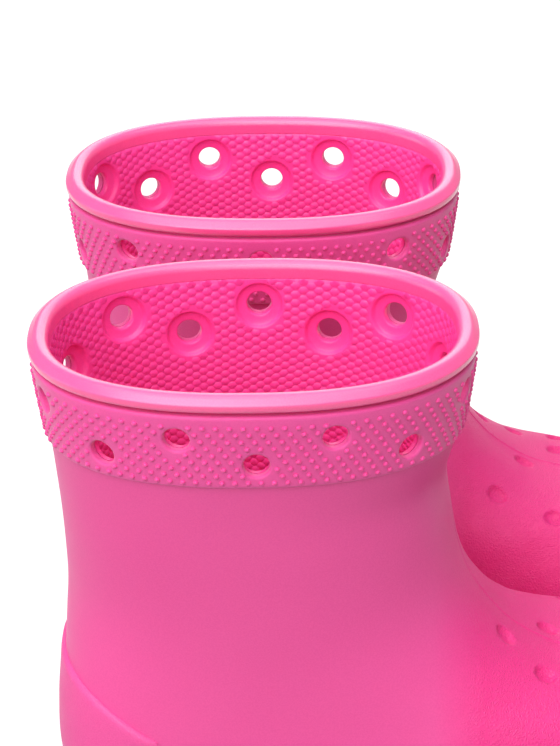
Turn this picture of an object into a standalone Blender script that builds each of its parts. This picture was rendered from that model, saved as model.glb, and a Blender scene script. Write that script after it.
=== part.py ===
"""A pair of child's pull-on ankle boots, moulded in closed-cell foam.

Each boot is a shell (shaft, vamp and heel in one wall) with a pierced collar cuff let into its
top edge, a rolled rim bead above the cuff, a heel panel, a loose footbed, and a sole in layers.
The right boot is modelled in its own frame, toes along +X and the collar's centre over x = 0,
and the left boot is its mirror image. Values are in millimetres until the last step.
"""

import math

import bmesh
import bpy
from mathutils import Matrix, Vector

MM = 0.001

# The pair
BOOT_SPACING = 104.0  # between the collar centres, across the pair
FRONT_END, REAR_END = 165.84, -59.84  # the toe of the outsole and the back of the rim

# The rim and the collar, by height above the floor
BEAD_HEIGHT = 163.0  # centre of the rolled rim bead
BEAD_WIDTH, BEAD_THICK = 5.8, 5.2
COLLAR_PITCH = 13.0  # height between the first key sections, which share the collar's flare
SHELL_TOP = 160.2
CUFF_TOP, CUFF_BOTTOM = 159.6, 137.6
CUFF_PROUD = 1.0  # how far the cuff stands out from the shaft
CUFF_THICK = 2.0
WALL = 4.7
GAP = 0.3  # between touching pieces

# The holes in the collar: 14, in a zigzag of two rows
HOLE_ARCS = (0.0, 20.3, 40.8, 63.0)  # round the wall from the middle hole of each side
HOLES_FORWARD = 1.0  # of the middle hole, past the collar's centre
HOLE_BORE = 7.0
UPPER_ROW, LOWER_ROW = 152.1, 144.5
RECESS_BORE, RECESS_DEPTH = 14.2, 1.5  # the dish round each hole, inside the boot

# The sole, by height above the floor
TREAD_TOP = 3.0
OUTSOLE_TOP = 9.0
MIDSOLE_TOP = 23.7
SHELL_BOTTOM = 24.0
FOOTBED_TOP = 28.5
FOOTBED_PLAY = 2.0  # between the footbed's edge and the wall
HEEL_PANEL_TOP = 67.0
HEEL_PANEL_REACH = math.radians(62)  # either side of the back seam
HEEL_PANEL_THICK = 1.0
HEEL_PANEL_GAP = 0.6
INFLARE = 4.0  # how far the toe turns towards the other foot
TOE_IN = math.radians(0.9)  # how far each boot is turned towards the other as it stands

# Sections of the shaft and foot, from the rim to the toe. Each is an oval in a plane through a
# front point and a back point of the boot's profile: front x, z, back x, z, half width, and the
# exponent of the oval, where 2 is an ellipse and more is squarer.
SECTIONS = [
    (58.6, 163.0, -58.6, 163.0, 40.6, 2.35),
    (57.2, 150.0, -57.2, 150.0, 39.4, 2.35),
    (55.2, 137.0, -55.6, 137.0, 38.2, 2.35),
    (52.0, 124.0, -54.6, 125.0, 37.0, 2.30),
    (53.0, 111.5, -53.8, 113.0, 36.2, 2.30),
    (55.2, 98.0, -53.4, 101.0, 35.6, 2.25),
    (58.6, 87.8, -53.4, 89.0, 35.4, 2.23),
    (63.9, 79.0, -54.4, 77.0, 35.4, 2.33),
    (71.2, 70.4, -55.5, 64.0, 35.9, 2.57),
    (81.8, 63.2, -56.8, 50.0, 36.8, 2.86),
    (92.0, 59.9, -56.8, 36.0, 37.9, 3.03),
    (102.0, 58.8, -53.4, 20.0, 38.8, 3.05),
    (112.0, 57.3, -38.0, 8.0, 39.6, 2.95),
    (122.0, 55.2, -10.0, 3.0, 40.6, 2.85),
    (132.0, 52.8, 25.0, 2.0, 41.8, 2.75),
    (141.0, 49.2, 62.0, 2.0, 42.6, 2.65),
    (149.5, 44.2, 96.0, 2.0, 41.6, 2.55),
    (156.8, 37.6, 124.0, 3.0, 37.4, 2.50),
    (162.2, 29.6, 144.0, 6.0, 29.0, 2.40),
    (165.4, 20.0, 157.0, 10.0, 17.0, 2.30),
]
TOE_STATION = len(SECTIONS) - 1.0
AROUND = 40  # sides of a lofted ring

PINK = (0.83, 0.105, 0.33)
SOLE_PINK = (0.76, 0.085, 0.29)


def section_at(station):
    """A section between the keys, on a smooth curve through them; above the rim it runs straight."""
    if station <= 0:
        return [a + (b - a) * station for a, b in zip(SECTIONS[0], SECTIONS[1])]
    first = min(int(station), len(SECTIONS) - 2)
    t = station - first
    before, last = max(first - 1, 0), min(first + 2, len(SECTIONS) - 1)
    keys = SECTIONS[before], SECTIONS[first], SECTIONS[first + 1], SECTIONS[last]
    return [
        b + 0.5 * t * (c - a + t * (2 * a - 5 * b + 4 * c - d + t * (3 * (b - c) + d - a)))
        for a, b, c, d in zip(*keys)
    ]


def inflare(x):
    """The sideways set of the foot at this length, which is nothing behind the instep."""
    t = min(max((x - 30.0) / 120.0, 0.0), 1.0)
    return INFLARE * t * t * (3 - 2 * t)


def on_surface(station, angle):
    """The point of the boot's outer surface at this angle round a section: 0 is the front."""
    front_x, front_z, back_x, back_z, half_width, power = section_at(station)
    c, s = math.cos(angle), math.sin(angle)
    along = math.copysign(abs(c) ** (2 / power), c)
    across = math.copysign(abs(s) ** (2 / power), s)
    x = (front_x + back_x + along * (front_x - back_x)) / 2
    z = (front_z + back_z + along * (front_z - back_z)) / 2
    return Vector((x, across * half_width + inflare(x), z))


def off_surface(station, angle, out):
    """The surface point moved outwards by this much, square to the surface."""
    ds, da = 0.02, 0.02
    along = on_surface(station + ds, angle) - on_surface(station - ds, angle)
    round_it = on_surface(station, angle + da) - on_surface(station, angle - da)
    return on_surface(station, angle) + along.cross(round_it).normalized() * out


def collar_station(height):
    return (BEAD_HEIGHT - height) / COLLAR_PITCH


def ring(station, out=0.0, sides=AROUND):
    turn = 2 * math.pi / sides
    return [off_surface(station, (i + 0.5) * turn, out) for i in range(sides)]


def collar_ring(height, out, sides=AROUND):
    """A ring of the collar, kept level: only its outline moves outwards."""
    flat = []
    for point in ring(collar_station(height), out, sides):
        flat.append(Vector((point.x, point.y, height)))
    return flat


def loft(rings, closed=False):
    """A mesh over rings of equal length. Closed joins the last ring to the first; otherwise
    each end is filled."""
    bm = bmesh.new()
    rows = [[bm.verts.new(point) for point in points] for points in rings]
    pairs = list(zip(rows, rows[1:] + rows[:1])) if closed else list(zip(rows, rows[1:]))
    for low, high in pairs:
        for i in range(len(low)):
            j = (i + 1) % len(low)
            bm.faces.new((low[i], low[j], high[j], high[i]))
    if not closed:
        bm.faces.new(rows[0])
        bm.faces.new(rows[-1])
    bmesh.ops.recalc_face_normals(bm, faces=bm.faces)
    return bm


def collar_point(arc, height, out):
    """A point of the collar wall, by the distance round it from the middle of the +Y side, and
    the wall's outward direction there. The distance grows towards the toe."""
    steps = 720
    outline = collar_ring(height, 0.0, steps)
    start = min(
        (i for i in range(steps) if outline[i].y > 0), key=lambda i: abs(outline[i].x)
    )
    way = 1 if (outline[(start + 1) % steps].x > outline[start].x) == (arc > 0) else -1
    here, left = start, abs(arc)
    while True:
        there = (here + way) % steps
        step = (outline[there] - outline[here]).length
        if step >= left:
            break
        here, left = there, left - step
    point = outline[here].lerp(outline[there], left / step)
    forward = (outline[there] - outline[here]).normalized()
    normal = Vector((forward.y, -forward.x, 0.0))
    if normal.dot(point) < 0:
        normal.negate()
    return point + normal * out, normal


def hole_places():
    """(arc, height, side) of each hole. Side is +1 for the inner side of the leg, where the
    middle hole is in the upper row, and -1 for the outer side, where it is in the lower."""
    for side in (1, -1):
        for i in range(1 - len(HOLE_ARCS), len(HOLE_ARCS)):
            upper = (i % 2 == 0) == (side > 0)
            arc = math.copysign(HOLE_ARCS[abs(i)], i) + HOLES_FORWARD
            yield arc, UPPER_ROW if upper else LOWER_ROW, side


def add_object(name, bm, material, collection):
    mesh = bpy.data.meshes.new(name)
    bm.to_mesh(mesh)
    bm.free()
    mesh.shade_smooth()
    mesh.set_sharp_from_angle(angle=math.radians(35))
    obj = bpy.data.objects.new(name, mesh)
    collection.objects.link(obj)
    if material:
        obj.data.materials.append(material)
    return obj


def make_material(name, colour, roughness):
    material = bpy.data.materials.new(name)
    material.use_nodes = True
    shader = material.node_tree.nodes["Principled BSDF"]
    shader.inputs["Base Color"].default_value = (*colour, 1.0)
    shader.inputs["Roughness"].default_value = roughness
    shader.inputs["Metallic"].default_value = 0.0
    return material


def cut(obj, cutter):
    modifier = obj.modifiers.new("cut_" + cutter.name, "BOOLEAN")
    modifier.operation = "DIFFERENCE"
    modifier.solver = "EXACT"
    modifier.object = cutter


def hole_cutters():
    """One mesh of all bores, and one of all the dishes round them on the inside."""
    bores, dishes = bmesh.new(), bmesh.new()
    for arc, height, side in hole_places():
        point, normal = collar_point(arc, height, 0.0)
        if side < 0:
            point.y, normal.y = -point.y, -normal.y
        aim = normal.to_track_quat("Z", "Y").to_matrix().to_4x4()
        bmesh.ops.create_cone(
            bores, cap_ends=True, segments=10, radius1=HOLE_BORE / 2, radius2=HOLE_BORE / 2,
            depth=24.0, matrix=Matrix.Translation(point - normal * 4.0) @ aim,
        )
        floor = WALL - RECESS_DEPTH
        bmesh.ops.create_cone(
            dishes, cap_ends=True, segments=12, radius1=RECESS_BORE / 2,
            radius2=RECESS_BORE / 2, depth=8.0,
            matrix=Matrix.Translation(point - normal * (floor + 4.0)) @ aim,
        )
    return bores, dishes


def shell_rings():
    """The shell's rings: up the outside from the toe, over the top edge, and down the inside."""
    shoulder = collar_station(CUFF_BOTTOM - GAP)
    spacing = 0.7
    count = int((TOE_STATION - shoulder) / spacing) + 1
    stations = [TOE_STATION - spacing * i for i in range(count)]
    recess = CUFF_PROUD - CUFF_THICK - GAP
    outside = [ring(s) for s in stations] + [collar_ring(CUFF_BOTTOM - GAP, 0.0)]
    neck = [collar_ring(h, recess) for h in (CUFF_BOTTOM - GAP, 149.0, SHELL_TOP)]
    lining = [collar_ring(h, -WALL) for h in (SHELL_TOP, 149.0, CUFF_BOTTOM - GAP)]
    inside = [ring(s, -WALL) for s in reversed(stations)]
    return outside + neck + lining + inside


def sole_outline(height, points=44):
    """The shell's outline at this height, as evenly spaced points."""
    bm = loft([ring(TOE_STATION - 0.25 * i, 0.0, 96) for i in range(int(TOE_STATION / 0.25))])
    plane = bmesh.ops.bisect_plane(
        bm, geom=bm.verts[:] + bm.edges[:] + bm.faces[:],
        plane_co=(0, 0, height), plane_no=(0, 0, 1),
    )
    crossing = [item.co.copy() for item in plane["geom_cut"] if isinstance(item, bmesh.types.BMVert)]
    bm.free()
    middle = Vector((45.0, 0.0, height))
    crossing.sort(key=lambda p: math.atan2(p.y - middle.y, p.x - middle.x))
    loop = crossing + crossing[:1]
    lengths = [(b - a).length for a, b in zip(loop, loop[1:])]
    total, even = sum(lengths), []
    for i in range(points):
        left, k = total * i / points, 0
        while left > lengths[k]:
            left, k = left - lengths[k], k + 1
        even.append(loop[k].lerp(loop[k + 1], left / lengths[k]))
    return even


def grown(outline, height, out):
    """The outline at this height, moved outwards by this much."""
    count, moved = len(outline), []
    for i, point in enumerate(outline):
        along = (outline[(i + 1) % count] - outline[i - 1]).normalized()
        moved.append(Vector((point.x + along.y * out, point.y - along.x * out, height)))
    return moved


def layer(outline, low, high, out, rounding=1.2):
    """A flat layer of the sole with its edges taken off."""
    return loft([
        grown(outline, low, out - rounding),
        grown(outline, low + rounding, out),
        grown(outline, high - rounding, out),
        grown(outline, high, out - rounding),
    ])


def footbed(outline):
    """The loose insole, which follows the shell's wall as that leans in over the toe."""
    inset, upper = -WALL - FOOTBED_PLAY, sole_outline(FOOTBED_TOP)
    return loft([
        grown(outline, SHELL_BOTTOM, inset),
        grown(upper, FOOTBED_TOP - 0.8, inset),
        grown(upper, FOOTBED_TOP, inset - 0.8),
    ])


def tread_pad(outline, start, end, inset):
    """A tread pad under the outsole: the outline cut across at two lengths of the boot."""
    bm = loft([grown(outline, 0.0, -inset - 0.8), grown(outline, 0.8, -inset),
               grown(outline, TREAD_TOP, -inset)])
    for x, way in ((start, -1), (end, 1)):
        found = bmesh.ops.bisect_plane(
            bm, geom=bm.verts[:] + bm.edges[:] + bm.faces[:],
            plane_co=(x, 0, 0), plane_no=(way, 0, 0), clear_outer=True,
        )
        edges = [item for item in found["geom_cut"] if isinstance(item, bmesh.types.BMEdge)]
        bmesh.ops.contextual_create(bm, geom=edges)
    bmesh.ops.recalc_face_normals(bm, faces=bm.faces)
    return bm


def at_height(height, angle, out):
    """The surface point at this height and angle, for angles round the heel."""
    low, high = 0.0, 12.0
    for _ in range(30):
        middle = (low + high) / 2
        if on_surface(middle, angle).z > height:
            low = middle
        else:
            high = middle
    return off_surface(low, angle, out)


def heel_panel():
    """A thin panel on the back of the heel, with an arched top edge."""
    columns, rows = 13, 5
    rings = []
    for i in range(columns):
        t = 2 * i / (columns - 1) - 1
        angle = math.pi + t * HEEL_PANEL_REACH
        top = HEEL_PANEL_TOP - 14.0 * t * t
        heights = [SHELL_BOTTOM + 0.4 + (top - SHELL_BOTTOM - 0.4) * j / (rows - 1) for j in range(rows)]
        outer = [at_height(h, angle, HEEL_PANEL_GAP + HEEL_PANEL_THICK) for h in heights]
        inner = [at_height(h, angle, HEEL_PANEL_GAP) for h in reversed(heights)]
        rings.append(outer + inner)
    return loft(rings)


def bead_rings():
    """Rings of the rolled rim: an oval bead, flattened where it sits on the shell."""
    middle = CUFF_PROUD + 0.4 - BEAD_WIDTH / 2
    rings = []
    for i in range(10):
        angle = 2 * math.pi * i / 10
        rise = max(math.sin(angle) * BEAD_THICK / 2, SHELL_TOP + GAP - BEAD_HEIGHT)
        rings.append(collar_ring(BEAD_HEIGHT + rise, middle + math.cos(angle) * BEAD_WIDTH / 2))
    return rings


def build_right_boot(collection, cutters):
    foam = make_material("moulded_foam", PINK, 0.48)
    cuff_foam = make_material("cuff_foam", PINK, 0.50)
    bead_foam = make_material("bead_foam", PINK, 0.38)
    panel_foam = make_material("panel_foam", PINK, 0.52)
    insole_foam = make_material("footbed_foam", PINK, 0.60)
    sole_foam = make_material("midsole_foam", SOLE_PINK, 0.55)
    rubber = make_material("outsole_rubber", SOLE_PINK, 0.62)
    tread = make_material("tread_rubber", SOLE_PINK, 0.66)

    bores, dishes = hole_cutters()
    bore_cutter = add_object("bores", bores, None, cutters)
    dish_cutter = add_object("dishes", dishes, None, cutters)
    below = bmesh.new()
    bmesh.ops.create_cube(
        below, size=1.0, matrix=Matrix.Translation((50, 0, SHELL_BOTTOM - 40))
        @ Matrix.Diagonal((400, 200, 80, 1)),
    )
    sole_cutter = add_object("below_shell", below, None, cutters)
    for cutter in (bore_cutter, dish_cutter, sole_cutter):
        cutter.hide_render = True
        cutter.display_type = "WIRE"

    shell = add_object("right_shell", loft(shell_rings()), foam, collection)
    for cutter in (sole_cutter, dish_cutter, bore_cutter):
        cut(shell, cutter)

    inner = CUFF_PROUD - CUFF_THICK
    cuff_section = [(CUFF_BOTTOM, inner), (CUFF_BOTTOM, CUFF_PROUD - 0.5),
                    (CUFF_BOTTOM + 0.6, CUFF_PROUD), (CUFF_TOP - 0.6, CUFF_PROUD),
                    (CUFF_TOP, CUFF_PROUD - 0.5), (CUFF_TOP, inner)]
    cuff_mesh = loft([collar_ring(h, out) for h, out in cuff_section], closed=True)
    cuff = add_object("right_collar_cuff", cuff_mesh, cuff_foam, collection)
    cut(cuff, bore_cutter)

    bead = add_object("right_rim_bead", loft(bead_rings(), closed=True), bead_foam, collection)
    panel = add_object("right_heel_panel", heel_panel(), panel_foam, collection)

    outline = sole_outline(SHELL_BOTTOM)
    pieces = [shell, cuff, bead, panel]
    pieces.append(add_object("right_footbed", footbed(outline), insole_foam, collection))
    pieces.append(add_object(
        "right_midsole", layer(outline, OUTSOLE_TOP + GAP, MIDSOLE_TOP, 1.6), sole_foam,
        collection))
    pieces.append(add_object(
        "right_outsole", layer(outline, TREAD_TOP + GAP, OUTSOLE_TOP, 1.9), rubber, collection))
    pieces.append(add_object(
        "right_forefoot_tread", tread_pad(outline, 62.0, 200.0, 3.0), tread, collection))
    pieces.append(add_object(
        "right_heel_tread", tread_pad(outline, -100.0, 8.0, 3.0), tread, collection))
    return pieces


def scene_scale(obj):
    """From millimetres in the boot's frame to metres, with the pair's origin under its middle."""
    middle = (FRONT_END + REAR_END) / 2
    obj.scale = (MM, MM, MM)
    obj.rotation_euler.z = TOE_IN
    obj.location = (-middle * MM, -BOOT_SPACING / 2 * MM, 0.0)


def main():
    for obj in list(bpy.data.objects):
        bpy.data.objects.remove(obj)
    collection = bpy.data.collections.new("moulded_foam_boots")
    cutters = bpy.data.collections.new("cutters")
    for made in (collection, cutters):
        bpy.context.scene.collection.children.link(made)
    right = build_right_boot(collection, cutters)
    for obj in right + list(cutters.objects):
        scene_scale(obj)
    bpy.context.view_layer.update()
    graph = bpy.context.evaluated_depsgraph_get()
    for obj in right:
        mesh = bpy.data.meshes.new_from_object(obj.evaluated_get(graph))
        bm = bmesh.new()
        bm.from_mesh(mesh)
        bmesh.ops.scale(bm, vec=(1, -1, 1), verts=bm.verts)
        bmesh.ops.reverse_faces(bm, faces=bm.faces)
        bm.to_mesh(mesh)
        bm.free()
        twin = bpy.data.objects.new(obj.name.replace("right_", "left_"), mesh)
        collection.objects.link(twin)
        twin.scale = (MM, MM, MM)
        twin.rotation_euler.z = -TOE_IN
        twin.location = (obj.location.x, -obj.location.y, 0.0)


main()
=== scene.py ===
"""The finished look of a pair of child's pull-on boots, moulded in pink closed-cell foam.

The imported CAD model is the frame: heights come from its boxes, and every piece made here stands
for one CAD node and keeps to its place. The right boot is modelled in its own frame, in
millimetres with the toes along +X and the collar's centre over x = 0 and y = 0, and the left
boot is its mirror image.
"""

import math

import bmesh
import bpy
import numpy as np
from mathutils import Matrix, Vector


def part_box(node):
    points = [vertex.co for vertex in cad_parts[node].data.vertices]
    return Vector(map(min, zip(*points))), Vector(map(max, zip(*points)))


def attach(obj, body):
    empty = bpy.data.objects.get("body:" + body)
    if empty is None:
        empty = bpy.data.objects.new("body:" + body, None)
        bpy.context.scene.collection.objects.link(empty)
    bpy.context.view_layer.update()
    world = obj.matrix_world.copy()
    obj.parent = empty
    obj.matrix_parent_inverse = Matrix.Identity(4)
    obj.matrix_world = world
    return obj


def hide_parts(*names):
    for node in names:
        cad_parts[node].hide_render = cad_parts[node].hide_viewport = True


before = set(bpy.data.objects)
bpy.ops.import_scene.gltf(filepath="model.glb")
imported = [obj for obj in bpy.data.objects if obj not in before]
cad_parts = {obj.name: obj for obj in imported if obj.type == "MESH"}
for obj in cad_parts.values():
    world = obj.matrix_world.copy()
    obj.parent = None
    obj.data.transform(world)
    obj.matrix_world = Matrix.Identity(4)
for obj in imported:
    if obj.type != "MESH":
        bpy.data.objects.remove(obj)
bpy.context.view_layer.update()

MM = 0.001


def heights_of(node):
    """The lowest and highest point of a CAD node, in millimetres."""
    low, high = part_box(node)
    return low.z / MM, high.z / MM


# Places and heights, from the frame
bead_low, bead_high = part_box("right_rim_bead")
# The collar's centre, over which the right boot's own frame has its origin
COLLAR_X = (bead_low.x + bead_high.x) / 2 / MM
COLLAR_Y = (bead_low.y + bead_high.y) / 2 / MM
BEAD_LOW, BEAD_TOP = heights_of("right_rim_bead")
CUFF_BOTTOM, CUFF_TOP = heights_of("right_collar_cuff")
SHELL_BOTTOM, SHELL_TOP = heights_of("right_shell")
FOOTBED_BOTTOM, FOOTBED_TOP = heights_of("right_footbed")
MIDSOLE_LOW, MIDSOLE_TOP = heights_of("right_midsole")
OUTSOLE_LOW, OUTSOLE_TOP = heights_of("right_outsole")
TREAD_LOW, TREAD_TOP = heights_of("right_heel_tread")
TOE_IN = math.radians(0.9)  # how far each boot is turned on the floor

# The collar and the heel panel, as the CAD model sets them out. "Out" is a distance from the
# shaft's own surface.
BEAD_HEIGHT = 163.0  # of the first section, under the bead
COLLAR_PITCH = 13.0  # between the collar's sections, which lie level
CUFF_PROUD = 1.0
CUFF_BACK = -1.0  # where the cuff's inner face lies, from the shaft's surface
NECK = -1.3  # the shell's outer face behind the cuff
LINING = -4.3  # the lining's face between its bumps
HOLE_ARCS = (0.0, 20.3, 40.8, 63.0)  # round the collar from the middle of each side of the leg
HOLES_FORWARD = 1.0  # the hole pattern's shift towards the toe
BORE = 3.45  # radius
DISH_RADIUS, DISH_DEPTH = 7.1, 1.2  # of the recess round each hole, inside
UPPER_ROW, LOWER_ROW = 152.1, 144.5  # heights of the hole centres
INFLARE = 4.0  # how far the toe swings to the inner side
HEEL_PANEL_TOP = 67.0
HEEL_PANEL_REACH = math.radians(62)

# Sections of the shaft and foot, from the rim to the toe: front x, z, back x, z, half width, and
# the exponent of the oval.
SECTIONS = np.array([
    (58.6, 163.0, -58.6, 163.0, 40.6, 2.35),
    (57.2, 150.0, -57.2, 150.0, 39.4, 2.35),
    (55.2, 137.0, -55.6, 137.0, 38.2, 2.35),
    (52.0, 124.0, -54.6, 125.0, 37.0, 2.30),
    (53.0, 111.5, -53.8, 113.0, 36.2, 2.30),
    (55.2, 98.0, -53.4, 101.0, 35.6, 2.25),
    (58.6, 87.8, -53.4, 89.0, 35.4, 2.23),
    (63.9, 79.0, -54.4, 77.0, 35.4, 2.33),
    (71.2, 70.4, -55.5, 64.0, 35.9, 2.57),
    (81.8, 63.2, -56.8, 50.0, 36.8, 2.86),
    (92.0, 59.9, -56.8, 36.0, 37.9, 3.03),
    (102.0, 58.8, -53.4, 20.0, 38.8, 3.05),
    (112.0, 57.3, -38.0, 8.0, 39.6, 2.95),
    (122.0, 55.2, -10.0, 3.0, 40.6, 2.85),
    (132.0, 52.8, 25.0, 2.0, 41.8, 2.75),
    (141.0, 49.2, 62.0, 2.0, 42.6, 2.65),
    (149.5, 44.2, 96.0, 2.0, 41.6, 2.55),
    (156.8, 37.6, 124.0, 3.0, 37.4, 2.50),
    (162.2, 29.6, 144.0, 6.0, 29.0, 2.40),
    (165.4, 20.0, 157.0, 10.0, 17.0, 2.30),
])
TOE_STATION = len(SECTIONS) - 1.0


# The boot's surface. A station is a place along the sections, 0 at the rim and 19 at the toe.

def sections_at(station):
    """Sections between the keys, on a smooth curve; above the rim they run straight."""
    station = np.asarray(station, float)
    last = len(SECTIONS) - 1
    first = np.clip(np.floor(station).astype(int), 0, last - 1)
    t = (station - first)[..., None]
    a, b = SECTIONS[np.maximum(first - 1, 0)], SECTIONS[first]
    c, d = SECTIONS[first + 1], SECTIONS[np.minimum(first + 2, last)]
    curve = b + 0.5 * t * (c - a + t * (2 * a - 5 * b + 4 * c - d + t * (3 * (b - c) + d - a)))
    straight = SECTIONS[0] + (SECTIONS[1] - SECTIONS[0]) * station[..., None]
    return np.where(station[..., None] <= 0, straight, curve)


def smooth(t):
    """A soft step from 0 to 1."""
    t = np.clip(t, 0.0, 1.0)
    return t * t * (3 - 2 * t)


def inflare(x):
    """How far the foot has swung to the inner side at this length."""
    return INFLARE * smooth((x - 30.0) / 120.0)


def surface(station, angle):
    """Points of the outer surface at these angles round these sections: angle 0 is the front."""
    station, angle = np.broadcast_arrays(station, angle)
    front_x, front_z, back_x, back_z, half_width, power = np.moveaxis(sections_at(station), -1, 0)
    c, s = np.cos(angle), np.sin(angle)
    along = np.sign(c) * np.abs(c) ** (2 / power)
    across = np.sign(s) * np.abs(s) ** (2 / power)
    x = (front_x + back_x + along * (front_x - back_x)) / 2
    z = (front_z + back_z + along * (front_z - back_z)) / 2
    y = across * half_width + inflare(x)
    return np.stack([x, y, z], axis=-1)


def off_surface(station, angle, out):
    """Surface points moved outwards by these amounts. In the collar, which is the first two
    sections, each keeps the level of its station."""
    station, angle, out = np.broadcast_arrays(station, angle, out)
    step = 0.02
    along = surface(station + step, angle) - surface(station - step, angle)
    around = surface(station, angle + step) - surface(station, angle - step)
    normal = np.cross(along, around)
    normal /= np.linalg.norm(normal, axis=-1, keepdims=True)
    normal[..., 2] *= smooth(station - 2.0)
    points = surface(station, angle) + normal * out[..., None]
    level = BEAD_HEIGHT - COLLAR_PITCH * station
    points[..., 2] = np.where(station < 2.0, level, points[..., 2])
    return points


def station_of(height):
    """The station of this height in the collar."""
    return (BEAD_HEIGHT - height) / COLLAR_PITCH


# Distances round the collar are measured on its outline at mid height, from the middle of the
# inner side of the leg, growing towards the toe.
TABLE_ANGLES = np.linspace(math.pi / 2, -1.5 * math.pi, 2881)
table_points = surface(1.0, TABLE_ANGLES)
TABLE_ARCS = np.concatenate([
    [0.0], np.cumsum(np.linalg.norm(np.diff(table_points, axis=0), axis=1))])
GIRTH = TABLE_ARCS[-1]


def angle_of(arc):
    """The angle at these distances round the collar, which may pass its start."""
    turns = np.floor(np.asarray(arc, float) / GIRTH)
    return np.interp(arc - turns * GIRTH, TABLE_ARCS, TABLE_ANGLES) - turns * 2 * math.pi


def collar(arc, height, out):
    """Points of the collar at these distances round it, heights and distances out."""
    return off_surface(station_of(np.asarray(height, float)), angle_of(arc), out)


def stretch(arc, height, out):
    """How much longer a step round the wall is here than on the outline that arcs refer to."""
    step = collar(arc + 0.5, height, out) - collar(arc - 0.5, height, out)
    return np.linalg.norm(step, axis=-1)


def find_holes():
    """(arc, height) of the 14 holes, in order round the collar."""
    holes = []
    for side in (1, -1):
        for i in range(1 - len(HOLE_ARCS), len(HOLE_ARCS)):
            upper = (i % 2 == 0) == (side > 0)
            height = UPPER_ROW if upper else LOWER_ROW
            outline = surface(station_of(height), TABLE_ANGLES)
            lengths = np.cumsum(np.linalg.norm(np.diff(outline, axis=0), axis=1))
            arc = math.copysign(HOLE_ARCS[abs(i)], i) + HOLES_FORWARD
            place = outline[1:][np.argmin(np.abs(lengths - arc % lengths[-1]))]
            place = place * (1, side, 1)
            nearest = np.argmin(np.linalg.norm(outline - place, axis=1))
            holes.append((TABLE_ARCS[nearest] % GIRTH, height))
    return sorted(holes)


HOLES = find_holes()


def from_holes(arc, height, out):
    """How far each point lies from the nearest hole's centre, that centre's arc and height, and
    the stretch of the wall there."""
    arc, height = np.broadcast_arrays(np.asarray(arc, float), height)
    nearest = np.full(arc.shape, np.inf)
    centre_arc, centre_height, scale = np.zeros(arc.shape), np.zeros(arc.shape), np.ones(arc.shape)
    for hole_arc, hole_height in HOLES:
        factor = stretch(hole_arc, hole_height, out)
        aside = (arc - hole_arc + GIRTH / 2) % GIRTH - GIRTH / 2
        distance = np.hypot(aside * factor, height - hole_height)
        closer = distance < nearest
        nearest = np.where(closer, distance, nearest)
        centre_arc = np.where(closer, arc - aside, centre_arc)
        centre_height = np.where(closer, hole_height, centre_height)
        scale = np.where(closer, factor, scale)
    return nearest, centre_arc, centre_height, scale


# Meshes

def grid_faces(rows, columns, wrap_rows=False, wrap_columns=True):
    """Quads over a grid of points, row by row."""
    row = np.arange(rows if wrap_rows else rows - 1)
    column = np.arange(columns if wrap_columns else columns - 1)
    row, column = np.meshgrid(row, column, indexing="ij")
    next_row, next_column = (row + 1) % rows, (column + 1) % columns
    corners = [row * columns + column, row * columns + next_column,
               next_row * columns + next_column, next_row * columns + column]
    return np.stack(corners, axis=-1).reshape(-1, 4)


class Build:
    """Points and faces of one piece, gathered block by block, with a material index a face."""

    def __init__(self):
        self.points, self.faces, self.slots = [], [], []

    def add(self, points, faces, slot=0):
        """Adds a block. Its faces count from the block's own first point."""
        start = len(self.points)
        self.points.extend(np.reshape(points, (-1, 3)).tolist())
        self.faces.extend([[start + int(i) for i in face] for face in faces])
        self.slots.extend([slot] * len(faces))

    def add_grid(self, points, wrap_rows=False, wrap_columns=True, slot=0):
        """Adds a sheet of quads through rows of points."""
        rows, columns = points.shape[:2]
        self.add(points, grid_faces(rows, columns, wrap_rows, wrap_columns), slot)

    def close(self, cut_below=None, weld=0.003):
        """Joins the blocks at their shared edges, cuts the result off flat below a height and
        fills it there, and turns every face outwards."""
        mesh = bpy.data.meshes.new("closing")
        mesh.from_pydata(self.points, [], self.faces)
        bm = bmesh.new()
        bm.from_mesh(mesh)
        bpy.data.meshes.remove(mesh)
        bmesh.ops.remove_doubles(bm, verts=bm.verts, dist=weld)
        if cut_below is not None:
            bmesh.ops.bisect_plane(
                bm, geom=bm.verts[:] + bm.edges[:] + bm.faces[:], dist=1e-5,
                plane_co=(0, 0, cut_below), plane_no=(0, 0, -1), clear_outer=True)
        rim = [edge for edge in bm.edges if edge.is_boundary]
        if rim:
            bmesh.ops.triangle_fill(bm, use_beauty=True, edges=rim)
        bmesh.ops.recalc_face_normals(bm, faces=bm.faces)
        bm.verts.ensure_lookup_table()
        self.points = [list(vert.co) for vert in bm.verts]
        self.faces = [[vert.index for vert in face.verts] for face in bm.faces]
        self.slots = [0] * len(self.faces)
        bm.free()

    def add_bumps(self, points, inwards=False, slot=0):
        """Bumps as (bump, ring, side) points, from each one's foot to its top, which is filled."""
        bumps, rings, sides = points.shape[:3]
        one = grid_faces(rings, sides)
        top = np.arange(sides) + (rings - 1) * sides
        a, b, c = points[0, 0, 0], points[0, 0, 1], points[0, 1, 1]
        outward = np.cross(b - a, c - a) @ (a - points[0, 0].mean(axis=0)) > 0
        if not outward:
            one, top = one[:, ::-1], top[::-1]
        base = (np.arange(bumps) * rings * sides)[:, None, None]
        self.add(points, (base + one).reshape(-1, 4).tolist(), slot)
        start = len(self.points) - bumps * rings * sides
        self.faces.extend((start + base[:, 0] + top).tolist())
        self.slots.extend([slot] * bumps)


def placed(points):
    """The right boot's points, in millimetres, as it stands in the frame, in metres."""
    points = np.asarray(points, float)
    c, s = math.cos(TOE_IN), math.sin(TOE_IN)
    x = c * points[:, 0] - s * points[:, 1] + COLLAR_X
    y = s * points[:, 0] + c * points[:, 1] + COLLAR_Y
    return np.stack([x, y, points[:, 2]], axis=-1) * MM


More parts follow.
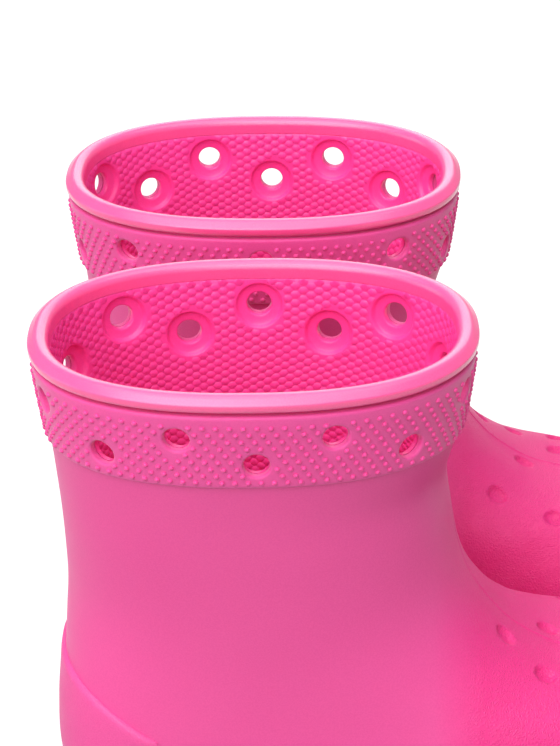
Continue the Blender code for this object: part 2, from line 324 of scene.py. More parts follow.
def add_pair(name, build, materials, node, sharp=None):
    """The piece on the right boot, and its mirror image on the left one."""
    points = placed(build.points)
    for side in ("right", "left"):
        faces = build.faces
        if side == "left":
            points = points * (1, -1, 1)
            faces = [face[::-1] for face in faces]
        mesh = bpy.data.meshes.new(f"{side}_{name}")
        mesh.from_pydata(points.tolist(), [], faces)
        mesh.polygons.foreach_set("material_index", build.slots)
        mesh.shade_smooth()
        if sharp:
            mesh.set_sharp_from_angle(angle=math.radians(sharp))
        for material in materials:
            mesh.materials.append(material)
        piece = bpy.data.objects.new(f"{side}_{name}", mesh)
        bpy.context.scene.collection.objects.link(piece)
        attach(piece, "root")
        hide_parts(f"{side}_{node}")


# Materials

def node(tree, kind, **settings):
    """A shader node with these settings, which are properties of the node or values of its
    inputs, with _ for a space."""
    made = tree.nodes.new(kind)
    for name, value in settings.items():
        if hasattr(made, name):
            setattr(made, name, value)
        else:
            made.inputs[name.replace("_", " ")].default_value = value
    return made


MIX_FACTOR, MIX_FIRST, MIX_SECOND = 0, 6, 7  # the inputs of a Mix node set to colours
MIX_RESULT = 2
# Over the same span the colour turns from the shaft's greyer pink to the foot's deeper pink of
# painted shade.
FOOT_FROM, FOOT_FULL = 48.0, 62.0  # the x where the shaft's smooth foam turns into the foot's
PEBBLE = 0.80  # size of the leather grain
CLOUD, SPECKLE = 45.0, 0.45  # sizes of the colour's soft patches and of its fine speckle
GLOSS_PATCH = 8.0
DEEPER, PALER = 0.90, 0.02  # the colour's share in the deep tone, and white's in the pale one


def foam(name, colour, roughness, grain=0.5, depth=0.02, leather=0.0, foot=None, sheen=0.0,
         coat=0.0):
    """Moulded foam: grain is the size of its finest texture and depth its height, in
    millimetres. Leather is the height of a coarser pebbled grain. With a foot colour, both that
    colour, a deeper pink of painted shade, and the leather are found only on the foot."""
    material = bpy.data.materials.new(name)
    material.use_nodes = True
    tree = material.node_tree
    shader = tree.nodes["Principled BSDF"]
    place = node(tree, "ShaderNodeTexCoord").outputs["Object"]

    def noise(size, detail):
        made = node(tree, "ShaderNodeTexNoise", Scale=1 / (size * MM), Detail=detail, Roughness=0.6)
        tree.links.new(place, made.inputs["Vector"])
        return made.outputs["Fac"]

    def mix(factor, first, second):
        """A mix of two colours. Each input is a value, or a socket to link."""
        made = node(tree, "ShaderNodeMix", data_type="RGBA", blend_type="MIX")
        for index, value in ((MIX_FACTOR, factor), (MIX_FIRST, first), (MIX_SECOND, second)):
            if isinstance(value, float):
                made.inputs[index].default_value = value
            elif isinstance(value, tuple):
                made.inputs[index].default_value = (*value, 1.0)
            else:
                tree.links.new(value, made.inputs[index])
        return made.outputs[MIX_RESULT]

    if foot:
        split = node(tree, "ShaderNodeSeparateXYZ")
        tree.links.new(place, split.inputs[0])
        start, end = (COLLAR_X + FOOT_FROM) * MM, (COLLAR_X + FOOT_FULL) * MM
        reach = node(tree, "ShaderNodeMapRange", From_Min=start, From_Max=end)
        tree.links.new(split.outputs["X"], reach.inputs["Value"])
        on_foot = reach.outputs["Result"]

    def tone(change):
        """The colour, changed, and blended into the foot's deeper pink of painted shade if there's
        one.
        """
        plain = tuple(change(value) for value in colour)
        if not foot:
            return plain
        return mix(on_foot, plain, tuple(change(value) for value in foot))

    deep = tone(lambda value: value * DEEPER)
    pale = tone(lambda value: value + (1 - value) * PALER)
    clouds = mix(noise(CLOUD, 2.0), deep, pale)
    speckle = node(tree, "ShaderNodeMapRange", From_Min=0.35, From_Max=0.65)
    tree.links.new(noise(SPECKLE, 1.0), speckle.inputs["Value"])
    speckled = mix(speckle.outputs["Result"], deep, pale)
    tree.links.new(mix(0.4, clouds, speckled), shader.inputs["Base Color"])

    gloss = node(tree, "ShaderNodeMapRange", To_Min=roughness - 0.04, To_Max=roughness + 0.05)
    tree.links.new(noise(GLOSS_PATCH, 3.0), gloss.inputs["Value"])
    tree.links.new(gloss.outputs["Result"], shader.inputs["Roughness"])

    bump = node(tree, "ShaderNodeBump", Strength=1.0, Distance=depth * MM)
    tree.links.new(noise(grain, 2.0), bump.inputs["Height"])
    if leather:
        cells = node(tree, "ShaderNodeTexVoronoi", feature="DISTANCE_TO_EDGE",
                     Scale=1 / (PEBBLE * MM))
        warp = node(tree, "ShaderNodeTexNoise", Scale=1 / (2.5 * MM), Detail=2.0)
        tree.links.new(place, warp.inputs["Vector"])
        moved = node(tree, "ShaderNodeVectorMath", operation="MULTIPLY_ADD")
        moved.inputs[1].default_value = (0.5 * MM,) * 3
        tree.links.new(warp.outputs["Color"], moved.inputs[0])
        tree.links.new(place, moved.inputs[2])
        tree.links.new(moved.outputs["Vector"], cells.inputs["Vector"])
        rounded = node(tree, "ShaderNodeMapRange", From_Max=0.35, interpolation_type="SMOOTHSTEP")
        tree.links.new(cells.outputs["Distance"], rounded.inputs["Value"])
        height = rounded.outputs["Result"]
        if foot:
            masked = node(tree, "ShaderNodeMath", operation="MULTIPLY")
            tree.links.new(height, masked.inputs[0])
            tree.links.new(on_foot, masked.inputs[1])
            height = masked.outputs["Value"]
        pebbles = node(tree, "ShaderNodeBump", Strength=1.0, Distance=leather * MM)
        tree.links.new(height, pebbles.inputs["Height"])
        tree.links.new(pebbles.outputs["Normal"], bump.inputs["Normal"])
    tree.links.new(bump.outputs["Normal"], shader.inputs["Normal"])

    shader.inputs["IOR"].default_value = 1.48
    shader.inputs["Subsurface Weight"].default_value = 0.12
    shader.inputs["Subsurface Radius"].default_value = (1.0, 0.25, 0.45)
    shader.inputs["Subsurface Scale"].default_value = 2.0 * MM
    shader.inputs["Sheen Weight"].default_value = sheen
    shader.inputs["Sheen Roughness"].default_value = 0.5
    shader.inputs["Coat Weight"].default_value = coat
    shader.inputs["Coat Roughness"].default_value = 0.25
    return material


# The foam's own pink, with its green raised a little so the shaft reads greyer: painted reflected
# haze.
PINK = (0.81, 0.060, 0.30)
# The foot's deeper, redder pink is painted shade, blended in from FOOT_FROM to FOOT_FULL.
SHADED_FOOT_PINK = (0.84, 0.016, 0.235)
# The nubs' brighter, more saturated pink is painted light on their tops.
NUB_PINK_PAINTED_LIGHT = (0.90, 0.042, 0.305)
CUFF_PINK = (0.82, 0.052, 0.31)
# The lining's brighter pink is painted light, for light glowing through the foam and bouncing round
# inside the boot.
LINING_PINK_PAINTED_LIGHT = (0.98, 0.045, 0.33)
# The bead's brighter pink is painted highlight, for the strong light on the rim's top; its coat
# gives the real gloss.
BEAD_PINK_PAINTED_HIGHLIGHT = (0.96, 0.07, 0.29)
SOLE_PINK = (0.78, 0.030, 0.25)

# The collar: a band with 14 holes, made of one patch a hole

ACROSS, UP = 16, 20  # steps along the patches' edges


def patch_edges():
    """The arcs where each patch starts and ends, halfway between holes."""
    arcs = [arc for arc, _ in HOLES]
    later = arcs[1:] + [arcs[0] + GIRTH]
    ends = [(a + b) / 2 for a, b in zip(arcs, later)]
    return list(zip([ends[-1] - GIRTH] + ends[:-1], ends))


PATCHES = patch_edges()
EDGE_ARCS = np.concatenate([np.linspace(a, b, ACROSS, endpoint=False) for a, b in PATCHES])


def pierced_face(build, low, high, profile, fans=4):
    """One face of the collar between two heights. Round each hole, rings lead from the patch's
    edge to the first circle, and the profile, as (radius, out), leads on into the hole."""
    for (centre, height), (left, right) in zip(HOLES, PATCHES):
        arcs = np.linspace(left, right, ACROSS, endpoint=False)
        back = np.linspace(right, left, ACROSS, endpoint=False)
        ups = np.linspace(low, high, UP, endpoint=False)
        downs = np.linspace(high, low, UP, endpoint=False)
        edge_arc = np.concatenate([arcs, np.full(UP, right), back, np.full(UP, left)])
        edge_height = np.concatenate([np.full(ACROSS, low), ups, np.full(ACROSS, high), downs])
        turn = np.arctan2(edge_height - height, edge_arc - centre)

        def circle(radius, out):
            scale = stretch(centre, height, out)
            return centre + radius * np.cos(turn) / scale, height + radius * np.sin(turn)

        first_radius, first_out = profile[0]
        circle_arc, circle_height = circle(first_radius, first_out)
        rings = []
        for k in range(fans):
            t = k / fans
            rings.append(collar(edge_arc + (circle_arc - edge_arc) * t,
                                edge_height + (circle_height - edge_height) * t, first_out))
        rings += [collar(*circle(radius, out), out) for radius, out in profile]
        build.add_grid(np.array(rings))


def bend(radius, out, curve, turn_from, turn_to, steps=5, inside=1):
    """A rounded edge of a hole, as (radius, out), from the face into the bore. It starts from
    its centre's radius and out. Inside is -1 on the lining's side of the wall."""
    turns = np.linspace(math.radians(turn_from), math.radians(turn_to), steps)
    return [(radius - curve * math.sin(t), out + inside * curve * math.cos(t)) for t in turns]


def make_cuff():
    """The pierced cuff: its outer face with nubs, the bores, and its flat back."""
    lip = 0.85  # radius of the holes' soft edges
    top_edge, low_edge = 1.0, 0.5  # radii of the cuff's own edges
    outer = bend(BORE + lip, CUFF_PROUD - lip, lip, 0, 90, 7)
    outer.append((BORE, CUFF_BACK))
    build = Build()
    pierced_face(build, CUFF_BOTTOM + low_edge, CUFF_TOP - top_edge, outer)
    pierced_face(build, CUFF_BOTTOM + low_edge, CUFF_TOP - top_edge, [(BORE, CUFF_BACK)])
    for end, way, edge in ((CUFF_TOP, 1, top_edge), (CUFF_BOTTOM, -1, low_edge)):
        turns = np.radians((0, 22, 45, 67, 90))
        heights = end - way * edge * (1 - np.sin(turns))
        outs = CUFF_PROUD - edge * (1 - np.cos(turns))
        heights = np.append(heights, (end, end - way * edge))
        outs = np.append(outs, (CUFF_BACK, CUFF_BACK))
        build.add_grid(collar(EDGE_ARCS[None, :], heights[:, None], outs[:, None]))
    build.close()
    add_nubs(build)
    return build


NUB_ROWS, NUB_TOP_ROW, NUB_ROW_PITCH = 9, 156.1, 2.11
NUB_PITCH, NUB_SHIFT = 3.42, 0.408  # round the cuff, and of the pitch from row to row
NUB_START = 1.36  # how far the pattern is turned towards the toe on the outer side
NUB_RADIUS, NUB_HEIGHT = 0.76, 0.68
NUB_CLEAR = 4.7  # how far a nub's centre keeps from a hole's


def add_nubs(build):
    """Rows of small domes over the cuff, leaving room for the holes."""
    count = round(GIRTH / NUB_PITCH)
    pitch = GIRTH / count
    row, column = np.meshgrid(np.arange(NUB_ROWS), np.arange(count), indexing="ij")
    arc = (column - NUB_SHIFT * row) * pitch - NUB_START
    height = NUB_TOP_ROW - NUB_ROW_PITCH * row
    distance = from_holes(arc, height, CUFF_PROUD)[0]
    keep = distance > NUB_CLEAR
    arc, height = arc[keep][:, None, None], height[keep][:, None, None]
    turns = np.linspace(0, 2 * math.pi, 10, endpoint=False)[None, None, :]
    climb = np.radians((0, 0, 28, 54, 76))[None, :, None]
    rise = np.array((-0.2, 0.0, 1, 1, 1))[None, :, None]
    radius = NUB_RADIUS * np.cos(climb)
    out = CUFF_PROUD + np.where(rise == 1, NUB_HEIGHT * np.sin(climb), rise)
    points = collar(arc + radius * np.cos(turns), height + radius * np.sin(turns), out)
    build.add_bumps(points, slot=1)


BUMP_COLUMN, BUMP_PITCH = 2.26, 2.55  # between the lining's columns, and down a column
BUMP_WIDE, BUMP_TALL = 1.45, 1.20  # half sizes of a bump, which is a rounded hexagon
BUMP_SIDES = 12
BUMP_TOP = 0.84  # its top's size, of its foot's
BUMP_HEIGHT = 0.13
BUMP_CLEAR = 0.35  # how far a bump's centre keeps from a recess's edge
BUMPS_FROM = 0.9  # how far below the shell's top the first ones lie
BUMPS_DOWN_TO = 7.0  # the station where they end, out of sight in the ankle


def make_lining():
    """The inner half of the shell's wall: dished holes, a field of flat-topped bumps, and a
    smooth face down into the foot."""
    lip, edge = 0.75, 0.1
    floor = LINING + DISH_DEPTH
    inner = bend(DISH_RADIUS, LINING + lip, lip, 0, 70, 5, -1)
    inner += [(6.1, floor - 0.18), (5.8, floor), (4.2, floor + 0.2)]
    inner += bend(BORE + 0.6, floor + 0.82, 0.6, 0, 90, 5, -1)
    inner.append((BORE, NECK))
    base = CUFF_BOTTOM - 0.3
    build = Build()
    pierced_face(build, base, SHELL_TOP - edge, inner)
    pierced_face(build, base, SHELL_TOP - edge, [(BORE, NECK)])
    top = [(SHELL_TOP - edge, LINING), (SHELL_TOP, LINING + edge), (SHELL_TOP, NECK - edge),
           (SHELL_TOP - edge, NECK)]
    heights, outs = np.array(top).T
    build.add_grid(collar(EDGE_ARCS[None, :], heights[:, None], outs[:, None]))

    shoulder = station_of(base)
    down = np.linspace(shoulder, TOE_STATION, 80)[:, None]
    angles = angle_of(EDGE_ARCS)
    build.add_grid(off_surface(down, angles[None, :], LINING))
    middle = LINING + 1.7
    stations = np.linspace(shoulder, TOE_STATION, 30)[1:]
    outer = [off_surface(shoulder, angles, NECK), off_surface(shoulder, angles, middle)]
    outer += [off_surface(station, angles, middle) for station in stations]
    build.add_grid(np.array(outer))
    build.close(cut_below=SHELL_BOTTOM)
    add_lining_bumps(build)
    return build


def add_lining_bumps(build):
    """The honeycomb of bumps. Those next to a recess are pushed clear of its edge."""
    columns = 2 * round(GIRTH * stretch(0.0, 150.0, LINING) / BUMP_COLUMN / 2)
    per_station = COLLAR_PITCH / BUMP_PITCH
    rows = int((BUMPS_DOWN_TO - station_of(SHELL_TOP)) * per_station)
    column, row = np.meshgrid(np.arange(columns), np.arange(rows), indexing="ij")
    arc = column * GIRTH / columns
    station = station_of(SHELL_TOP - BUMPS_FROM) + (row + 0.5 * (column % 2)) / per_station
    height = BEAD_HEIGHT - station * COLLAR_PITCH
    distance = from_holes(arc, height, LINING)[0]
    keep = distance > DISH_RADIUS + BUMP_CLEAR
    arc, height = arc[keep][:, None, None], height[keep][:, None, None]

    turns = np.linspace(0, 2 * math.pi, BUMP_SIDES, endpoint=False)[None, None, :]
    corner = (turns + math.pi / 6) % (math.pi / 3) - math.pi / 6
    hexagon = 0.5 + 0.5 * math.cos(math.pi / 6) / np.cos(math.pi / 6 - np.abs(corner))
    size = np.array((1.0, BUMP_TOP))[None, :, None] * hexagon
    rise = np.array((-0.04, 1.0))[None, :, None] * BUMP_HEIGHT
    squeeze = stretch(arc, height, LINING)
    arc = arc + BUMP_WIDE * size * np.cos(turns) / squeeze
    height = np.minimum(height + BUMP_TALL * size * np.sin(turns), SHELL_TOP - 0.02)
    away, hole_arc, hole_height, scale = from_holes(arc, height, LINING)
    push = np.maximum(DISH_RADIUS + 0.1, away) / away
    arc = hole_arc + (arc - hole_arc) * push
    height = hole_height + (height - hole_height) * push
    points = off_surface((BEAD_HEIGHT - height) / COLLAR_PITCH, angle_of(arc), LINING - rise)
    build.add_bumps(points)


def bead_arc(middle, height, wide, tall, turn_from, turn_to, steps):
    """Points of an elliptical arc of the bead's profile, as (height, out). Turns are in degrees
    from the outward direction."""
    turns = np.radians(np.linspace(turn_from, turn_to, steps))
    return [(height + tall * math.sin(t), middle + wide * math.cos(t)) for t in turns]


def make_bead():
    """The rolled rim: a soft-cornered bead with a flat underside and a narrow groove below."""
    wide = 2.9
    outer = CUFF_PROUD + 0.4
    middle, inner = outer - wide, outer - wide - wide
    top, low = BEAD_TOP, BEAD_LOW
    profile = bead_arc(outer - 0.9, top - 2.7, 0.9, 0.8, 0, 55, 7)
    profile += bead_arc(middle - 0.5, top - 3.85, 3.1, 3.4, 55, 118, 12)
    profile += bead_arc(inner + 1.5, top - 2.6, 1.5, 1.9, 120, 180, 7)
    profile += [(low - 0.15, inner), (low - 0.15, inner + 0.6), (low, inner + 1.2), (low, -1.1)]
    profile += bead_arc(outer - 1.5, low + 1.45, 1.5, 1.4, -88, -8, 8)
    heights, outs = np.array(profile).T
    arcs = np.linspace(0, GIRTH, 280, endpoint=False)
    build = Build()
    build.add_grid(collar(arcs[None, :], heights[:, None], outs[:, None]), wrap_rows=True)
    build.close()
    return build


# The shell's outside

# Blind oval dimples on the vamp: station, angle from the centre line in degrees, half length
# along the foot and half width across it, in millimetres.
DIMPLES = (
    (7.85, -14.0, 3.4, 2.5), (9.00, 1.3, 3.3, 2.6), (9.10, -21.5, 3.3, 2.7), (8.85, 32.2, 3.3, 2.9),
    (10.20, -9.5, 3.2, 2.7), (10.75, -26.5, 3.3, 2.7), (10.70, 33.5, 3.3, 2.8),
    (11.60, 13.0, 3.2, 2.7), (12.60, -6.0, 3.2, 2.7), (12.70, -33.0, 3.2, 2.7),
    (12.80, 36.0, 3.2, 2.7), (14.10, 13.0, 3.2, 2.7), (14.30, -20.0, 3.2, 2.7),
)
DIMPLE_WALL, DIMPLE_BOWL = 0.85, 0.75  # the depth of a dimple's edge, and of its bowl
RIDGE_HEIGHT, RIDGE_WIDTH = 0.32, 0.5
SEAM_ASIDE = 2.4  # how far the parting line lies to the outer side of the middle


def weighted_angles():
    """Angles round the foot, close together over the vamp and wider round the back."""
    fine = np.linspace(-math.pi, math.pi, 4001)
    lengths = np.linalg.norm(np.diff(surface(11.0, fine), axis=0), axis=1)
    middle = (fine[1:] + fine[:-1]) / 2
    spacing = 0.66 + 1.7 * smooth((np.abs(middle) - 1.3) / 0.6)
    spacing = np.where(np.abs(middle) < 0.05, 0.25, spacing)
    progress = np.concatenate([[0.0], np.cumsum(lengths / spacing)])
    count = int(progress[-1])
    return np.interp(np.arange(count) / count * progress[-1], progress, fine)


def relief(station, angle, points):
    """How far the outside stands out or in: the dimples, and the mould's parting line."""
    out = np.zeros(station.shape)
    for dimple_station, degrees, half_long, half_wide in DIMPLES:
        at, side = np.array(dimple_station), np.radians(degrees)
        centre = surface(at, side)
        ahead = surface(at + 0.05, side) - centre
        ahead /= np.linalg.norm(ahead)
        aside = surface(at, side + 0.05) - centre
        aside -= ahead * (aside @ ahead)
        aside /= np.linalg.norm(aside)
        away = points - centre
        distance = np.hypot(away @ ahead / half_long, away @ aside / half_wide)
        near = np.linalg.norm(away, axis=-1) < 8  # leaves out the far side of the boot
        wall = DIMPLE_WALL * smooth((1.12 - distance) / 0.36)
        bowl = DIMPLE_BOWL * np.clip(1 - distance ** 2, 0, 1)
        out -= np.where(near, wall + bowl, 0.0)
    across = points[..., 1] - inflare(points[..., 0]) + SEAM_ASIDE
    seam = np.exp(-(across / RIDGE_WIDTH) ** 2) * (np.abs(angle) < 0.5)
    out += RIDGE_HEIGHT * seam * smooth((station - 3.0) / 2.0) * smooth((17.0 - station) / 1.0)
    return out


def make_outside():
    """The outer half of the shell's wall: shaft, instep, vamp, toe and heel."""
    shoulder = station_of(CUFF_BOTTOM - 0.3)
    stations = np.concatenate([
        np.linspace(shoulder, 7.2, 50, endpoint=False), np.linspace(7.2, 15.0, 170, endpoint=False),
        np.linspace(15.0, TOE_STATION, 40)])
    angles = weighted_angles()
    station, angle = np.meshgrid(stations, angles, indexing="ij")
    out = relief(station, angle, surface(station, angle))
    build = Build()
    build.add_grid(off_surface(station, angle, out))
    inside = LINING + 2.0
    rings = [off_surface(shoulder, angles, depth) for depth in (0.0, NECK + 0.3, inside)]
    lower = np.linspace(shoulder, TOE_STATION, 30)[1:]
    rings += [off_surface(station, angles, inside) for station in lower]
    build.add_grid(np.array(rings))
    build.close(cut_below=SHELL_BOTTOM)
    return build


def station_at_height(height, angle):
    """The station, at this angle, where the surface is at this height, for angles at the heel."""
    stations = np.linspace(0.0, 12.0, 1201)
    heights = surface(stations, angle)[:, 2]
    return np.interp(-height, -heights, stations)


def make_heel_panel():
    """A thin raised panel on the back of the heel, with an arched top and rounded edges."""
    columns, rows = 72, 40
    thick, gap = 1.0, 0.25
    sunk = -0.15  # its inner face, just inside the shell
    arch = 14.0  # how far the top falls from its middle to its ends
    build = Build()
    outer, inner = [], []
    for t in np.linspace(-1, 1, columns):
        angle = math.pi + t * HEEL_PANEL_REACH
        top = HEEL_PANEL_TOP - arch * t * t
        heights = np.linspace(SHELL_BOTTOM + 0.3, top, rows)
        stations = np.array([station_at_height(h, angle) for h in heights])
        side_edge = smooth((1 - abs(t)) * columns / 6.0)
        top_edge = smooth((top - heights) / 1.6)
        outer.append(off_surface(stations, angle, gap + thick * np.sqrt(side_edge * top_edge)))
        inner.append(off_surface(stations, angle, sunk))
    outer, inner = np.array(outer), np.array(inner)
    build.add_grid(outer, wrap_columns=False)
    build.add_grid(inner, wrap_columns=False)
    for k in (0, -1):
        build.add_grid(np.stack([outer[k], inner[k]]), wrap_columns=False)
        build.add_grid(np.stack([outer[:, k], inner[:, k]]), wrap_columns=False)
    build.close()
    return build


# The sole

def sole_outline(height, count=260):
    """The shell's outline at this height, as evenly spaced points going round from the toe."""
    stations = np.linspace(0, TOE_STATION, 190)
    angles = np.linspace(0, 2 * math.pi, 240, endpoint=False)
    grid = Build()
    grid.add_grid(surface(stations[:, None], angles[None, :]))
    mesh = bpy.data.meshes.new("outline")
    mesh.from_pydata(grid.points, [], grid.faces)
    bm = bmesh.new()
    bm.from_mesh(mesh)
    bpy.data.meshes.remove(mesh)
    cut = bmesh.ops.bisect_plane(
        bm, geom=bm.verts[:] + bm.edges[:] + bm.faces[:],
        plane_co=(0, 0, height), plane_no=(0, 0, 1))
    verts = [item for item in cut["geom_cut"] if isinstance(item, bmesh.types.BMVert)]
    crossing = np.array([vert.co for vert in verts])
    bm.free()
    middle = 45.0  # an x well inside the outline
    order = np.argsort(np.arctan2(crossing[:, 1], crossing[:, 0] - middle))
    loop = crossing[np.append(order, order[0])]
    lengths = np.append(0.0, np.cumsum(np.linalg.norm(np.diff(loop, axis=0), axis=1)))
    even = np.linspace(0, lengths[-1], count, endpoint=False)
    return np.stack([np.interp(even, lengths, loop[:, k]) for k in (0, 1)], axis=-1)


OUTLINE = sole_outline(SHELL_BOTTOM)


def grown(outline, out):
    """The outline moved outwards by these distances."""
    along = np.roll(outline, -2, axis=0) - np.roll(outline, 2, axis=0)
    along /= np.linalg.norm(along, axis=1, keepdims=True)
    out = np.broadcast_to(out, len(outline))
    return outline + np.stack([along[:, 1], -along[:, 0]], axis=-1) * out[:, None]


def outline_ring(height, out, outline=OUTLINE):
    """A level ring of points round the outline, moved outwards."""
    flat = grown(outline, out)
    return np.column_stack([flat, np.broadcast_to(height, len(flat))])


def layer(profile, outline=OUTLINE):
    """A layer of the sole from its edge profile, as (height, out), closed above and below."""
    rings = [outline_ring(height, out, outline) for height, out in profile]
    build = Build()
    build.add_grid(np.array(rings))
    count = len(outline)
    last = (len(rings) - 1) * count
    build.faces += [list(range(count)), list(range(last, last + count))]
    build.slots += [0, 0]
    build.close()
    return build


def rounded(low, high, out, radius, steps=5):
    """The edge profile of a layer with rounded edges."""
    turns = np.linspace(-math.pi / 2, 0, steps)
    lower = [(low + radius * (1 + math.sin(t)), out - radius * (1 - math.cos(t))) for t in turns]
    upper = [(low + high - height, edge) for height, edge in reversed(lower)]
    return lower + upper


def make_midsole():
    """The midsole, with a rounded groove along its edge."""
    low, high, out = MIDSOLE_LOW, MIDSOLE_TOP, 1.6
    profile = rounded(low, high, out, 1.3)
    groove = low + 0.36 * (high - low)
    depth = 0.55
    channel = [(groove + t, out - depth * (1 - t * t)) for t in np.linspace(-1, 1, 9)]
    half = len(profile) // 2
    return layer(profile[:half] + channel + profile[half:])


def make_outsole():
    """The outsole, its edge cut by shallow upright notches."""
    low, high, out = OUTSOLE_LOW, OUTSOLE_TOP, 1.9
    notch = 0.45 * (np.arange(len(OUTLINE)) % 4 == 0)
    rings = []
    for height, edge in rounded(low, high, out, 0.9):
        inside = 0.9 < height - low < high - low - 0.8
        rings.append((height, edge - notch * inside))
    return layer(rings)


def width_at(outline, x):
    """Where the outline crosses this length of the boot: the lower and the higher y."""
    found = []
    for a, b in zip(outline, np.roll(outline, -1, axis=0)):
        if (a[0] - x) * (b[0] - x) <= 0 and a[0] != b[0]:
            found.append(a[1] + (b[1] - a[1]) * (x - a[0]) / (b[0] - a[0]))
    return min(found), max(found)


TREAD_INSET = 3.0  # how far the pads keep from the outsole's side
BAR_PITCH = 8.4  # about, since each pad holds a whole number of bars
BAR_HALF = 0.31  # half of a bar's length along the foot, of the pitch
CHEVRON = 3.2  # how far a bar's two ends run ahead of its middle


def make_tread(start, end):
    """A tread pad: a thin plate, and bars across it with a shallow chevron."""
    inset = grown(OUTLINE, -TREAD_INSET)
    start = max(start, inset[:, 0].min() + 0.5)
    end = min(end, inset[:, 0].max() - 0.5)
    build = Build()
    plate = TREAD_TOP - 1.0
    xs = np.linspace(start, end, 40)
    sides = np.array([width_at(inset, x) for x in xs])
    corners = ((plate, 0), (plate, 1), (TREAD_TOP, 1), (TREAD_TOP, 0))
    edges = [np.column_stack([xs, sides[:, k], np.full(len(xs), height)]) for height, k in corners]
    build.add_grid(np.array(edges).swapaxes(0, 1))
    last = (len(xs) - 1) * len(corners)
    build.faces += [[0, 1, 2, 3], [last + k for k in range(4)]]
    build.slots += [0, 0]
    count = int((end - start) / BAR_PITCH)
    pitch = (end - start) / count
    for i in range(count):
        middle = start + (i + 0.5) * pitch
        build_bar(build, inset, start, end, middle, pitch * BAR_HALF, plate + 0.1)
    build.close(weld=1e-4)
    return build


def build_bar(build, inset, start, end, middle, half, top):
    """One bar of a tread pad, between the pad's sides, with its lower edges sloped in."""
    across = np.linspace(-1, 1, 17)
    rings = []
    for y in across:
        shift = CHEVRON * (abs(y) - 0.5)
        ring = []
        for height, grow in ((top, 0.5), (TREAD_LOW + 0.5, 0.0), (TREAD_LOW, -0.5)):
            for way in (-1, 1):
                x = min(max(middle + shift + way * (half + grow), start), end)
                low, high = width_at(inset, x)
                centre, reach = (low + high) / 2, (high - low) / 2 - 0.4 + min(grow, 0)
                ring.append((x, centre + y * reach, height))
        rings.append([ring[0], ring[2], ring[4], ring[5], ring[3], ring[1]])
    first = len(build.points)
    build.add_grid(np.array(rings))
    last = first + (len(rings) - 1) * 6
    build.faces += [[first + k for k in range(6)], [last + k for k in range(6)]]
    build.slots += [0, 0]


def make_footbed():
    """The loose footbed: dished towards its middle all over, with a soft edge."""
    upper = sole_outline(FOOTBED_TOP)
    wall, gap = 4.7, 2.0  # of the shell, and between it and the footbed
    inset = -wall - gap
    rings = [outline_ring(FOOTBED_BOTTOM + 0.05, inset - 0.3)]
    rings.append(outline_ring(FOOTBED_BOTTOM + 0.4, inset))
    for drop, out in ((0.9, 0.0), (0.35, -0.25), (0.0, -0.9)):
        rings.append(outline_ring(FOOTBED_TOP - drop, inset + out, upper))
    edge = grown(upper, inset)
    spine = np.column_stack([np.clip(edge[:, 0], -25.0, 120.0), np.zeros(len(edge))])
    for t in (0.12, 0.28, 0.46, 0.66, 0.86, 1.0):
        flat = edge + (spine - edge) * t
        dish = 1.3 * smooth(t / 0.6)
        rings.append(np.column_stack([flat, np.full(len(flat), FOOTBED_TOP - dish)]))
    build = Build()
    build.add_grid(np.array(rings))
    count = len(OUTLINE)
    build.faces += [list(range(count))]
    build.slots += [0]
    build.close()
    return build


def make_boots():
    """Every piece of both boots, with its material, its slot and the CAD node it stands for."""
    # The shell's outside: painted reflected haze in the shaft's pink, painted shade in the foot's.
    foam_plain = foam("moulded_foam", PINK, 0.46, grain=0.5, depth=0.012, leather=0.11,
                      foot=SHADED_FOOT_PINK)
    foam_cuff = foam("cuff_foam", CUFF_PINK, 0.55, grain=0.4, depth=0.02, sheen=0.25)
    foam_nub = foam("nub_foam_painted_light", NUB_PINK_PAINTED_LIGHT, 0.50, grain=0.4, depth=0.006, sheen=0.15)
    foam_bead = foam("bead_foam", BEAD_PINK_PAINTED_HIGHLIGHT, 0.34, grain=0.4, depth=0.006, coat=0.9)
    foam_lining = foam("lining_foam_painted_light", LINING_PINK_PAINTED_LIGHT, 0.40, grain=0.4, depth=0.008)
    foam_panel = foam("panel_foam", PINK, 0.50, grain=0.5, depth=0.012, leather=0.04)
    foam_footbed = foam("footbed_foam", PINK, 0.60, grain=0.6, depth=0.03)
    foam_sole = foam("midsole_foam", SOLE_PINK, 0.52, grain=0.5, depth=0.02, leather=0.03)
    rubber = foam("outsole_rubber", SOLE_PINK, 0.55, grain=0.5, depth=0.02)
    rubber_tread = foam("tread_rubber", SOLE_PINK, 0.6, grain=0.5, depth=0.03)

    add_pair("shell_outside", make_outside(), [foam_plain], "shell", 50)
    add_pair("shell_lining", make_lining(), [foam_lining], "shell", 60)
    add_pair("collar_cuff_nubbed", make_cuff(), [foam_cuff, foam_nub], "collar_cuff", 60)
    add_pair("rim_bead_rolled", make_bead(), [foam_bead], "rim_bead", 60)
    add_pair("heel_panel_raised", make_heel_panel(), [foam_panel], "heel_panel", 60)
    add_pair("footbed_cupped", make_footbed(), [foam_footbed], "footbed", 60)
    add_pair("midsole_grooved", make_midsole(), [foam_sole], "midsole", 50)
    add_pair("outsole_notched", make_outsole(), [rubber], "outsole", 50)
    add_pair("forefoot_tread_bars", make_tread(62.0, 200.0), [rubber_tread],
             "forefoot_tread", 40)
    add_pair("heel_tread_bars", make_tread(-100.0, 8.0), [rubber_tread],
             "heel_tread", 40)


# Camera, floor and light

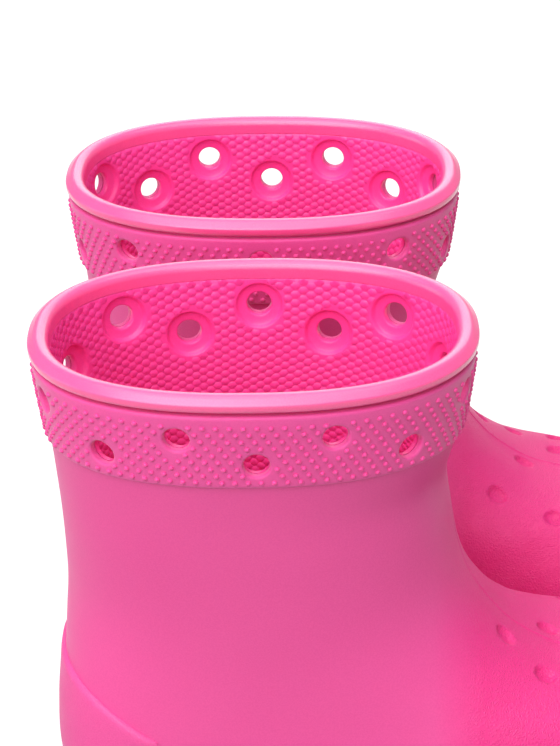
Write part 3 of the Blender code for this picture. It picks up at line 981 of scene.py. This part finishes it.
def add_camera():
    """The view of the product picture: from the pair's right side, well above, through a long
    lens. Angles are in degrees."""
    azimuth, elevation, roll = math.radians(2.33), math.radians(27.54), math.radians(-1.465)
    distance = 0.6303
    target = Vector((COLLAR_X * MM, COLLAR_Y * MM, BEAD_HEIGHT * MM))
    back = Vector((math.sin(azimuth) * math.cos(elevation),
                   -math.cos(azimuth) * math.cos(elevation), math.sin(elevation)))
    right = Vector((math.cos(azimuth), math.sin(azimuth), 0.0))
    up = back.cross(right)
    level = Matrix((right, up, back)).transposed()
    camera = bpy.data.objects.new("camera", bpy.data.cameras.new("camera"))
    camera.matrix_world = (Matrix.Translation(target + back * distance)
                           @ (level @ Matrix.Rotation(roll, 3, "Z")).to_4x4())
    camera.data.sensor_fit = "AUTO"
    camera.data.lens = 114.54
    camera.data.shift_x, camera.data.shift_y = 0.0361, -0.0580  # the picture is cut off-centre
    bpy.context.scene.collection.objects.link(camera)
    bpy.context.scene.camera = camera


def add_floor():
    """A glowing white floor. It shows in reflections, but throws no soft light on the boots."""
    mesh = bpy.data.meshes.new("floor")
    half = 6.0
    corners = [(-half, -half, 0), (half, -half, 0), (half, half, 0), (-half, half, 0)]
    mesh.from_pydata(corners, [], [(0, 1, 2, 3)])
    floor = bpy.data.objects.new("floor", mesh)
    bpy.context.scene.collection.objects.link(floor)
    material = bpy.data.materials.new("floor_white")
    material.use_nodes = True
    shader = material.node_tree.nodes["Principled BSDF"]
    shader.inputs["Base Color"].default_value = (0.2, 0.2, 0.2, 1.0)
    shader.inputs["Roughness"].default_value = 0.9
    shader.inputs["Specular IOR Level"].default_value = 0.1
    shader.inputs["Emission Color"].default_value = (1.0, 1.0, 1.0, 1.0)
    shader.inputs["Emission Strength"].default_value = 0.9
    mesh.materials.append(material)
    floor.visible_diffuse = False


def add_light(name, place, target, size, power):
    """A round soft light, of this diameter, aimed at a point."""
    light = bpy.data.lights.new(name, "AREA")
    light.shape = "DISK"
    light.size = size
    light.energy = power
    lamp = bpy.data.objects.new(name, light)
    aim = Vector(target) - Vector(place)
    turned = aim.to_track_quat("-Z", "Y").to_matrix().to_4x4()
    lamp.matrix_world = Matrix.Translation(Vector(place)) @ turned
    bpy.context.scene.collection.objects.link(lamp)


def add_light_and_world():
    """Soft lamps round the boots, and a white world that is darker below the horizon."""
    boots = (0.0, 0.0, 0.1)
    add_light("key", (-0.45, -1.0, 1.2), boots, 1.5, 18.5)
    add_light("overhead", (-0.1, -0.1, 1.5), boots, 1.6, 12.0)
    add_light("back_panel", (0.0, 1.6, 0.95), boots, 1.3, 8.0)
    add_light("left_panel", (-1.6, -0.1, 0.6), boots, 1.3, 5.5)
    add_light("front_panel", (-0.3, -1.6, 0.5), boots, 1.2, 5.0)
    world = bpy.data.worlds.new("white_studio")
    world.use_nodes = True
    tree = world.node_tree
    background = tree.nodes["Background"]
    background.inputs["Color"].default_value = (1.0, 1.0, 1.0, 1.0)
    split = node(tree, "ShaderNodeSeparateXYZ")
    tree.links.new(node(tree, "ShaderNodeTexCoord").outputs["Generated"], split.inputs[0])
    fade = node(tree, "ShaderNodeMapRange", From_Min=-0.3, From_Max=0.3, To_Min=0.16, To_Max=0.5)
    tree.links.new(split.outputs["Z"], fade.inputs["Value"])
    tree.links.new(fade.outputs["Result"], background.inputs["Strength"])
    bpy.context.scene.world = world


bpy.context.scene.view_settings.view_transform = "Standard"
add_camera()
add_floor()
add_light_and_world()
make_boots()

bpy.context.view_layer.update()
